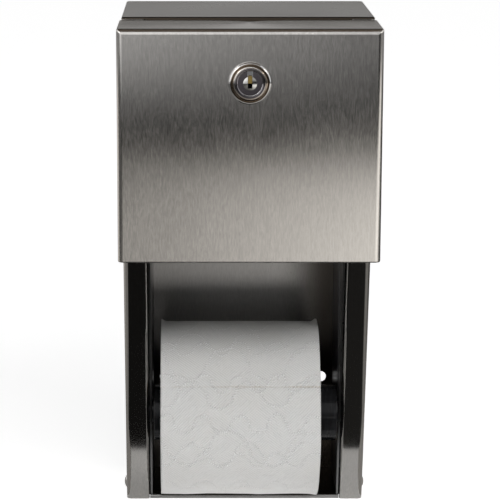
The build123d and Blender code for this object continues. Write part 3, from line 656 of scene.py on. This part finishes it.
def outer_ply(name, axis, low_x, high_x, radius, free_angle, sheet_length, material, seed, loose):
    """The last turn of tissue, from its free end over the front, top and back and under itself.
    Loose is 1 for a roll in use, whose free end stands off and whose top corners stand up."""
    rng = np.random.default_rng(seed)
    columns, reach_round = 110, math.radians(371)
    tuck_start, tuck_length, tuck_depth = math.radians(340), math.radians(20), 0.42 * MM
    free_zone = 8 * MM
    x = np.linspace(low_x, high_x, columns)
    from_left, from_right = x - low_x, high_x - x
    corners = 0.9 * MM * hump(from_left, 0, 1.6 * MM) + 2.6 * MM * hump(from_right, 0, 4.4 * MM)
    torn_edge = wander(rng, columns, 7, 0.45 * MM) + loose * corners
    arc = np.concatenate([np.linspace(0, free_zone, 14, endpoint=False),
                          np.linspace(free_zone, reach_round * radius, 330)])
    side_left, side_right = wander(rng, len(arc), 12, 0.28 * MM), wander(rng, len(arc), 12, 0.28 * MM)
    crinkle = [wander(rng, columns, 9, 1.0) for _ in range(5)]
    # From -1 at the left edge to 1 at the right one
    side = (from_left / (high_x - low_x) - 0.5) * 2
    left_tip = 1.5 * MM * hump(from_left, 0, 1.6 * MM)
    right_tip = 1.6 * MM * hump(from_right, 0.6 * MM, 1.8 * MM)
    points = []
    for row, along in enumerate(arc):
        near_end = max(0.0, 1 - along / free_zone)
        angle = math.radians(free_angle) + (along - torn_edge * near_end ** 1.2) / radius
        lift = loose * (near_end ** 2 * (0.12 * MM + 0.2 * MM * crinkle[0])
                        + near_end ** 1.5 * 0.9 * MM * hump(from_right, 0, 4.0 * MM))
        sink = tuck_depth * np.clip((along / radius - tuck_start) / tuck_length, 0, 1)
        soft = 0.17 * MM * (crinkle[1] * math.sin(along / (19 * MM))
                            + crinkle[2] * math.sin(along / (31 * MM) + 1))
        slit_dip = 0.16 * MM * math.exp(-(((along - sheet_length) / (0.9 * MM)) ** 2))
        over_front = math.degrees(along / radius) + free_angle
        tips = loose * (left_tip * hump(over_front, 103, 9.0) + right_tip * hump(over_front, 104, 9.0))
        r = radius - sink + lift + soft - slit_dip + tips
        edge = np.where(side < 0, side_left[row] * (side ** 4 - side ** 3), side_right[row] * side ** 3)
        points.append(np.stack([x + edge, axis[0] - r * np.cos(angle),
                                axis[1] + r * np.sin(angle) + loose * OFF_CENTRE], axis=1))
    points = np.concatenate(points)
    piece = mesh_piece(name, points, grid_faces(len(arc), columns), material)
    wound_map(piece, points, np.repeat(arc, columns) / MM)
    thick = piece.modifiers.new("ply thickness", "SOLIDIFY")
    thick.thickness = 0.16 * MM
    thick.offset = -1.0
    return piece


# Settings

COLOUR = {"subtype": "COLOR", "min": 0.0, "max": 1.0}
SHARE = {"subtype": "FACTOR", "min": 0.0, "max": 1.0}


class DoorSettings(bpy.types.PropertyGroup):
    """Finish of the hinged door."""
    colour: FloatVectorProperty(
        name="Steel colour", description="Reflected colour of the door's steel",
        default=(0.56, 0.54, 0.515), **COLOUR)
    roughness: FloatProperty(
        name="Roughness", description="How far the brushed grain blurs reflections",
        default=0.17, **SHARE)
    grain_spread: FloatProperty(
        name="Grain spread", description="How much more the grain blurs sideways than along itself",
        default=1.0, **SHARE)


class CabinetSettings(bpy.types.PropertyGroup):
    """Finish of the cabinet's sheets and posts."""
    colour: FloatVectorProperty(
        name="Sheet colour", description="Reflected colour of the back, roof and shelf",
        default=(0.52, 0.51, 0.50), **COLOUR)
    post_colour: FloatVectorProperty(
        name="Post colour", description="Reflected colour of the two posts",
        default=(0.50, 0.485, 0.465), **COLOUR)
    inner_colour: FloatVectorProperty(
        name="Inner colour", description="Reflected colour of the tracks, arms and springs",
        default=(0.46, 0.46, 0.46), **COLOUR)
    roughness: FloatProperty(
        name="Roughness", description="Blur of the cabinet's reflections",
        default=0.24, **SHARE)
    post_roughness: FloatProperty(
        name="Post roughness", description="Blur of the posts' reflections",
        default=0.12, **SHARE)


class LockSettings(bpy.types.PropertyGroup):
    """Finish of the key lock."""
    colour: FloatVectorProperty(
        name="Plating colour", description="Reflected colour of the lock's housing",
        default=(0.66, 0.66, 0.66), **COLOUR)
    plug_colour: FloatVectorProperty(
        name="Plug colour", description="Reflected colour of the part that the key turns",
        default=(0.76, 0.75, 0.72), **COLOUR)
    brass_colour: FloatVectorProperty(
        name="Wafer colour", description="Reflected colour of the brass wafers in the keyway",
        default=(0.44, 0.32, 0.11), **COLOUR)


class SpindleSettings(bpy.types.PropertyGroup):
    """Finish of the two spindles."""
    colour: FloatVectorProperty(
        name="Plastic colour", description="Colour of the moulded spindles",
        default=(0.012, 0.012, 0.013), **COLOUR)
    roughness: FloatProperty(
        name="Roughness", description="Blur of the plastic's gloss",
        default=0.13, **SHARE)


class RollSettings(bpy.types.PropertyGroup):
    """Shape and finish of the two tissue rolls."""
    colour: FloatVectorProperty(
        name="Tissue colour", description="Colour of the tissue",
        default=(0.86, 0.855, 0.84), **COLOUR)
    # Painted shade: the colour in the slits stands for the shade in them.
    slit_shade_colour: FloatVectorProperty(
        name="Slit colour", description="Colour in the slits between two sheets",
        default=(0.50, 0.42, 0.32), **COLOUR)
    card_colour: FloatVectorProperty(
        name="Card colour", description="Colour of the card core",
        default=(0.50, 0.40, 0.29), **COLOUR)
    sheet_length: FloatProperty(
        name="Sheet length", description="Length of one sheet, from the loose end to the line of slits",
        subtype="DISTANCE", unit="LENGTH", default=0.0965, min=0.05, max=0.2)
    free_angle: FloatProperty(
        name="Free end",
        description="Where the lower roll's loose end lies, in degrees above the roll's front",
        default=-73.0, min=-170.0, max=170.0)
    seed: IntProperty(name="Seed", description="Seed of the creases and uneven edges", default=11, min=0)


class StageSettings(bpy.types.PropertyGroup):
    """Studio, light and camera."""
    floor_colour: FloatVectorProperty(
        name="Floor colour", description="Colour of the floor",
        default=(0.86, 0.86, 0.86), **COLOUR)
    camera_place: FloatVectorProperty(
        name="Camera place", description="Where the camera stands",
        subtype="TRANSLATION", unit="LENGTH", default=(-0.02999, -1.37865, 0.28616))
    camera_pitch: FloatProperty(
        name="Camera pitch", description="How far the camera looks down",
        subtype="ANGLE", unit="ROTATION", default=0.20897)
    focal_length: FloatProperty(
        name="Focal length", description="Focal length in millimetres on a 36 mm sensor",
        default=155.98, min=20.0, max=400.0)
    sideways_shift: FloatProperty(
        name="Sideways shift", description="Camera shift that centres the dispenser in the picture",
        default=0.1053, min=-1.0, max=1.0)
    key_power: FloatProperty(
        name="Key light", description="Power of the large light at the front right, in watts",
        default=12.2, min=0.0)
    fill_power: FloatProperty(
        name="Fill light", description="Power of the large light at the front left, in watts",
        default=5.6, min=0.0)
    world_level: FloatProperty(
        name="Room light", description="Strength of the even light from all round",
        default=0.06, min=0.0)


# Operators

RIVET_COLOUR = (0.6, 0.59, 0.57)


class DISPENSER_OT_door(bpy.types.Operator):
    """Finish the door and the rivets that it turns on"""
    bl_idname = "dispenser.door"
    bl_label = "Door"

    def execute(self, context):
        settings = context.scene.dispenser_door
        steel = grained_steel("door_steel", settings.colour, settings.roughness, settings.grain_spread, "Z")
        dress(steel, "door_panel")
        dress(turned_metal("door_rivet_steel", RIVET_COLOUR, 0.12), "hinge_rivets")
        return {"FINISHED"}


class DISPENSER_OT_cabinet(bpy.types.Operator):
    """Finish the back, roof, shelf and posts of the cabinet"""
    bl_idname = "dispenser.cabinet"
    bl_label = "Cabinet"

    def execute(self, context):
        settings = context.scene.dispenser_cabinet
        # The back, roof and shelf get painted shade from their recipes.
        dress(grained_steel("cabinet_steel", settings.colour, settings.roughness + 0.05, 0.6, "Z",
                            grain_depth=2e-6, painted_shade=bay_painted_shade), "back_panel")
        dress(grained_steel("roof_steel", shade(settings.colour, 1.06), settings.roughness + 0.06, 0.0, "X",
                            grain_depth=5e-7, painted_shade=roof_seam_painted_shade), "top_panel")
        dress(grained_steel("shelf_steel", shade(settings.colour, 0.72), settings.roughness, 0.0, "X",
                            painted_shade=shelf_painted_shade), "bottom_shelf")
        post = grained_steel("post_steel", settings.post_colour, settings.post_roughness, 0.2, "Z", 8e-7)
        dress(post, "left_column", "right_column")
        dress(turned_metal("shelf_rivet_steel", RIVET_COLOUR, 0.12), "shelf_rivets")
        return {"FINISHED"}


class DISPENSER_OT_mechanism(bpy.types.Operator):
    """Finish the track plates, keeper, arms and springs"""
    bl_idname = "dispenser.mechanism"
    bl_label = "Tracks and arms"

    def execute(self, context):
        settings = context.scene.dispenser_cabinet
        plate = grained_steel("inner_steel", shade(settings.inner_colour, 0.5), 0.3, 0.6, "Z")
        dress(plate, "left_track_plate", "right_track_plate", "lock_keeper")
        arm = grained_steel("arm_steel", settings.inner_colour, 0.3, 0.0, "Y")
        dress(arm, "left_arm", "right_arm")
        spring = turned_metal("spring_steel", shade(settings.inner_colour, 0.9), 0.22)
        dress(spring, "lower_brake_spring", "reserve_brake_spring")
        for side in (-1, 1):
            arm_spring(side, spring)
        dress(turned_metal("stud_steel", (0.55, 0.55, 0.56), 0.25), "arm_studs", "arm_clips")
        return {"FINISHED"}


class DISPENSER_OT_lock(bpy.types.Operator):
    """Finish the key lock and what it turns"""
    bl_idname = "dispenser.lock"
    bl_label = "Lock"

    def execute(self, context):
        settings = context.scene.dispenser_lock
        dress(lock_chrome("lock_metal", settings.colour, 0.09, 0.22 * MM, housing_rings), "lock_housing")
        dress(lock_chrome("plug_metal", shade(settings.plug_colour, 0.6), 0.14, 0.65 * MM, plug_front),
              "lock_plug")
        dress(turned_metal("wafer_brass", settings.brass_colour, 0.28), "lock_wafers")
        plated = turned_metal("plated_steel", (0.58, 0.59, 0.61), 0.32, 8e-6, 0.14)
        dress(plated, "lock_nut", "lock_cam", "cam_screw")
        return {"FINISHED"}


class DISPENSER_OT_spindles(bpy.types.Operator):
    """Finish the moulded spindles"""
    bl_idname = "dispenser.spindles"
    bl_label = "Spindles"

    def execute(self, context):
        settings = context.scene.dispenser_spindles
        plastic = moulded_plastic("spindle_plastic", settings.colour, settings.roughness)
        dress(plastic, "lower_spindle", "lower_spindle_caps", "reserve_spindle", "reserve_spindle_caps")
        return {"FINISHED"}


class DISPENSER_OT_rolls(bpy.types.Operator):
    """Wind the two tissue rolls and finish their card cores"""
    bl_idname = "dispenser.rolls"
    bl_label = "Tissue rolls"

    def execute(self, context):
        settings = context.scene.dispenser_rolls
        tissue = embossed_tissue(
            "tissue", settings.colour, settings.sheet_length / MM, (*settings.slit_shade_colour, 1.0)
        )
        reserve_angle = -152.0
        mass_inset, ply_inset = 0.75 * MM, 0.12 * MM
        for body, angle, loose, seed in (("lower_roll", settings.free_angle, 1.0, settings.seed),
                                         ("reserve_roll", reserve_angle, 0.15, settings.seed + 5)):
            low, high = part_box(body + "_paper")
            centre = (low + high) / 2
            axis = (centre.y, centre.z)
            ends = wound_edges(body + "_edges", settings.colour, *axis)
            mass = roll_body(body + "_mass", axis, low.x, high.x, ROLL_RADIUS - mass_inset, tissue, ends,
                             seed, loose)
            ply = outer_ply(body + "_ply", axis, low.x, high.x, ROLL_RADIUS - ply_inset, angle,
                            settings.sheet_length, tissue, seed + 1, loose)
            for piece in (mass, ply):
                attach(piece, body)
            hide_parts(body + "_paper")
            dress(rolled_card(body + "_card", settings.card_colour, *axis), body + "_core")
        return {"FINISHED"}


FRONT_WALL_Y, REAR_WALL_Y = -1.8, 1.4


def level_corners(x1, x2, y1, y2, z):
    """Corners of a level sheet."""
    return [(x1, y1, z), (x2, y1, z), (x2, y2, z), (x1, y2, z)]


def studio_sheet(name, corners, material):
    """A flat sheet that belongs to the studio."""
    mesh = bpy.data.meshes.new(name)
    mesh.from_pydata(corners, [], [(0, 1, 2, 3)])
    mesh.materials.append(material)
    sheet = new_object(name, mesh)
    return sheet


def glow_sheet(name, corners, recipe):
    """A flat studio card that only reflections see, with the light that the recipe gives."""
    material = bpy.data.materials.new(name)
    tree = bare_tree(material)
    colour, strength = recipe(split(on_mesh(tree)))
    glow = place(tree, "ShaderNodeEmission", {"Color": colour, "Strength": strength})
    place(tree, "ShaderNodeOutputMaterial", {"Surface": glow.outputs[0]})
    card = studio_sheet(name, corners, material)
    card.visible_camera = False
    card.visible_diffuse = False
    card.visible_shadow = False


def front_floor_light(parts):
    """Dark close to the dispenser, bright beside it and further out, brighter to the right."""
    out = times(parts[1], -1.0)
    level = profile(out, ((0.10, 0.015), (0.39, 0.01), (0.42, 0.05), (0.46, 0.14), (0.50, 0.25),
                          (0.54, 0.33), (0.62, 0.40), (0.72, 0.52), (0.85, 0.62), (0.99, 0.62),
                          (1.11, 0.56), (1.27, 0.50), (1.40, 0.42), (1.53, 0.22), (1.63, 0.05),
                          (1.80, 0.01)))
    side = profile(parts[0], ((-0.50, 0.07), (-0.10, 0.22), (0.0, 0.32), (0.10, 0.57), (0.20, 0.82),
                              (0.40, 1.0)))
    aside = spread(size_of(parts[0]), 0.125, 0.17, 0.0, 0.26, True)
    near = spread(out, 0.30, 0.60, 1.0, 0.0)
    level = calc("MAXIMUM", times(level, side, 2.72), times(aside, near))
    return (1.0, 0.975, 0.935, 1.0), level


def left_floor_light(parts):
    """Floor on the left: grey beside the dispenser, bright further away."""
    return (1.0, 0.97, 0.93, 1.0), spread(parts[0], -0.9, -0.2, 1.0, 0.3)


def right_floor_light(parts):
    """Floor on the right: grey beside the dispenser, dark further away."""
    return (1.0, 0.97, 0.93, 1.0), spread(parts[0], 0.1, 0.5, 0.34, 0.05)


def front_wall_light(parts):
    """Dim wall behind the camera: darkest at its foot, lighter to the left, brighter high up."""
    low = profile(parts[2], ((-0.158, 0.01), (-0.134, 0.05), (-0.106, 0.14), (-0.066, 0.25),
                             (-0.038, 0.29), (0.12, 0.32)))
    side = profile(parts[0], ((-1.0, 1.0), (-0.5, 0.68), (-0.2, 0.42), (0.0, 0.23), (0.2, 0.13),
                              (0.5, 0.02)))
    high = spread(parts[2], 0.12, 0.5, 0.0, 0.55, True)
    return (0.985, 0.99, 1.0, 1.0), plus(times(low, side, 5.0), high)


def window_light(parts):
    """A bright window."""
    return (1.0, 0.98, 0.94, 1.0), 7.0


def window_corners(turn, rise, half_width, half_height):
    """Corners of an upright sheet that faces the lock, seen from it at a turn and a rise in degrees."""
    distance = 1.6
    turn, rise = math.radians(turn), math.radians(rise)
    middle = LOCK_CENTRE + distance * Vector(
        (math.sin(turn) * math.cos(rise), -math.cos(turn) * math.cos(rise), math.sin(rise)))
    across = Vector((math.cos(turn), math.sin(turn), 0.0)) * half_width
    up = Vector((0.0, 0.0, half_height))
    return [middle - across - up, middle + across - up, middle + across + up, middle - across + up]


def rear_wall_light(parts):
    """Wall behind the dispenser: mid grey at the height of the roof, dark further up."""
    return (1.0, 0.98, 0.96, 1.0), spread(parts[2], 0.45, 0.9, 0.37, 0.08, True)


def ceiling_light(parts):
    """Dim brownish ceiling."""
    return (1.0, 0.82, 0.66, 1.0), spread(parts[1], FRONT_WALL_Y, REAR_WALL_Y, 0.16, 0.07)


def soft_lamp(name, place_at, aim, size, power):
    """A large soft area lamp that reflections don't see."""
    light = bpy.data.lights.new(name, "AREA")
    light.shape = "RECTANGLE"
    light.size, light.size_y = size
    light.energy = power
    lamp = new_object(name, light)
    lamp.location = place_at
    lamp.rotation_euler = (Vector(aim) - Vector(place_at)).to_track_quat("-Z", "Y").to_euler()
    lamp.visible_glossy = False


class DISPENSER_OT_stage(bpy.types.Operator):
    """Set the floor, the studio cards, the lights and the camera"""
    bl_idname = "dispenser.stage"
    bl_label = "Studio"

    def execute(self, context):
        settings = context.scene.dispenser_stage
        scene = context.scene
        scene.view_settings.view_transform = "Standard"
        self.floor(settings)
        self.cards()
        self.lights(settings)
        self.world(settings)
        self.camera(settings)
        return {"FINISHED"}

    def floor(self, settings):
        """A pale floor right under the posts, which reads white where nothing shades it."""
        reach = 6.0
        corners = level_corners(-reach, reach, -reach, reach, FOOT_Z - 0.3 * MM)
        material, tree, shader = new_material("studio_floor")
        where = on_mesh(tree)
        base = mottled(speckle(where, 40.0), settings.floor_colour, 0.99, 1.01)
        path = place(tree, "ShaderNodeLightPath").outputs
        seen = calc("MAXIMUM", path["Is Camera Ray"], path["Is Transmission Ray"])
        away = join("ShaderNodeVectorMath", {0: where}, operation="LENGTH").outputs["Value"]
        # Painted shade round the dispenser: the glow that the camera sees is a little weaker near it than
        # further out, so its cast shadow still shows.
        glow = plus(times(seen, spread(away, 0.25, 1.4, 0.85, 0.93, True)),
                    times(path["Is Glossy Ray"], 0.24), times(path["Is Diffuse Ray"], 0.28))
        wire(shader, Base_Color=base, Roughness=0.95, Specular_IOR_Level=0.0,
             Emission_Color=(1.0, 1.0, 1.0, 1.0), Emission_Strength=glow)
        studio_sheet("studio_floor", corners, material)

    def cards(self):
        """Cards that only reflections see: the floor round the dispenser, two windows, both walls
        and the ceiling."""
        z = FOOT_Z - 0.1 * MM
        side_gap, front_gap = 0.078, 0.106
        wide, narrow, rear_foot, top = 2.2, 1.6, 0.05, 2.4
        glow_sheet("front_floor_card", level_corners(-wide, wide, FRONT_WALL_Y, -front_gap, z),
                   front_floor_light)
        for name, side, recipe in (("left_floor_card", -1, left_floor_light),
                                   ("right_floor_card", 1, right_floor_light)):
            corners = level_corners(side * side_gap, side * wide, -front_gap, REAR_WALL_Y, z)
            glow_sheet(name, corners, recipe)
        glow_sheet("left_window_card", window_corners(-40.0, 30.0, 0.18, 0.22), window_light)
        glow_sheet("right_window_card", window_corners(44.0, 24.0, 0.12, 0.20), window_light)
        glow_sheet("front_wall_card", [(-wide, FRONT_WALL_Y, z), (-wide, FRONT_WALL_Y, top),
                                       (wide, FRONT_WALL_Y, top), (wide, FRONT_WALL_Y, z)],
                   front_wall_light)
        glow_sheet("rear_wall_card", [(-narrow, REAR_WALL_Y, rear_foot), (narrow, REAR_WALL_Y, rear_foot),
                                      (narrow, REAR_WALL_Y, top), (-narrow, REAR_WALL_Y, top)],
                   rear_wall_light)
        glow_sheet("ceiling_card", level_corners(-narrow, narrow, FRONT_WALL_Y, REAR_WALL_Y, top),
                   ceiling_light)

    def lights(self, settings):
        """A key light at the front right and a weaker fill at the front left."""
        soft_lamp("key_light", (0.5, -1.25, 1.15), (0.0, -0.15, -0.08), (1.3, 0.45), settings.key_power)
        soft_lamp("fill_light", (-0.45, -1.8, -0.02), (0.0, -0.1, 0.0), (1.6, 0.2), settings.fill_power)

    def world(self, settings):
        """Even room light, which reads white where the camera or a reflection sees it."""
        world = bpy.data.worlds.new("studio_room")
        bpy.context.scene.world = world
        tree = bare_tree(world)
        path = place(tree, "ShaderNodeLightPath").outputs
        seen = calc("MAXIMUM", path["Is Camera Ray"], path["Is Glossy Ray"])
        seen = calc("MAXIMUM", seen, path["Is Transmission Ray"])
        level = spread(seen, 0.0, 1.0, settings.world_level)
        back = place(tree, "ShaderNodeBackground", {"Color": (1.0, 1.0, 1.0, 1.0), "Strength": level})
        place(tree, "ShaderNodeOutputWorld", {"Surface": back.outputs[0]})

    def camera(self, settings):
        """The camera at the photograph's angle."""
        lens = bpy.data.cameras.new("studio_camera")
        lens.sensor_width = 36.0
        lens.lens = settings.focal_length
        lens.shift_x = settings.sideways_shift
        lens.clip_start, lens.clip_end = 0.05, 50.0
        camera = new_object("studio_camera", lens)
        camera.location = settings.camera_place
        camera.rotation_euler = Euler((math.pi / 2 - settings.camera_pitch, 0.0, 0.0))
        bpy.context.scene.camera = camera


class DISPENSER_PT_pieces(bpy.types.Panel):
    """The dispenser's pieces and their settings"""
    bl_idname = "DISPENSER_PT_pieces"
    bl_label = "Tissue dispenser"
    bl_space_type = "VIEW_3D"
    bl_region_type = "UI"
    bl_category = "Dispenser"

    def draw(self, context):
        for operator, group in STEPS:
            box = self.layout.box()
            box.operator(operator.bl_idname)
            settings = getattr(context.scene, group)
            for name in settings.__annotations__:
                box.prop(settings, name)


STEPS = (
    (DISPENSER_OT_stage, "dispenser_stage"),
    (DISPENSER_OT_door, "dispenser_door"),
    (DISPENSER_OT_cabinet, "dispenser_cabinet"),
    (DISPENSER_OT_mechanism, "dispenser_cabinet"),
    (DISPENSER_OT_lock, "dispenser_lock"),
    (DISPENSER_OT_spindles, "dispenser_spindles"),
    (DISPENSER_OT_rolls, "dispenser_rolls"),
)
GROUPS = {
    "dispenser_door": DoorSettings,
    "dispenser_cabinet": CabinetSettings,
    "dispenser_lock": LockSettings,
    "dispenser_spindles": SpindleSettings,
    "dispenser_rolls": RollSettings,
    "dispenser_stage": StageSettings,
}


def register():
    """Registers the settings, operators and panel."""
    for name, group in GROUPS.items():
        bpy.utils.register_class(group)
        setattr(bpy.types.Scene, name, PointerProperty(type=group))
    for operator, _ in STEPS:
        bpy.utils.register_class(operator)
    bpy.utils.register_class(DISPENSER_PT_pieces)


def unregister():
    """Removes the panel, operators and settings."""
    bpy.utils.unregister_class(DISPENSER_PT_pieces)
    for operator, _ in reversed(STEPS):
        bpy.utils.unregister_class(operator)
    for name, group in GROUPS.items():
        delattr(bpy.types.Scene, name)
        bpy.utils.unregister_class(group)


def make_dispenser():
    """Runs every step in order."""
    register()
    for operator, _ in STEPS:
        kind, name = operator.bl_idname.split(".")
        getattr(getattr(bpy.ops, kind), name)()


if __name__ == "__main__":
    make_dispenser()
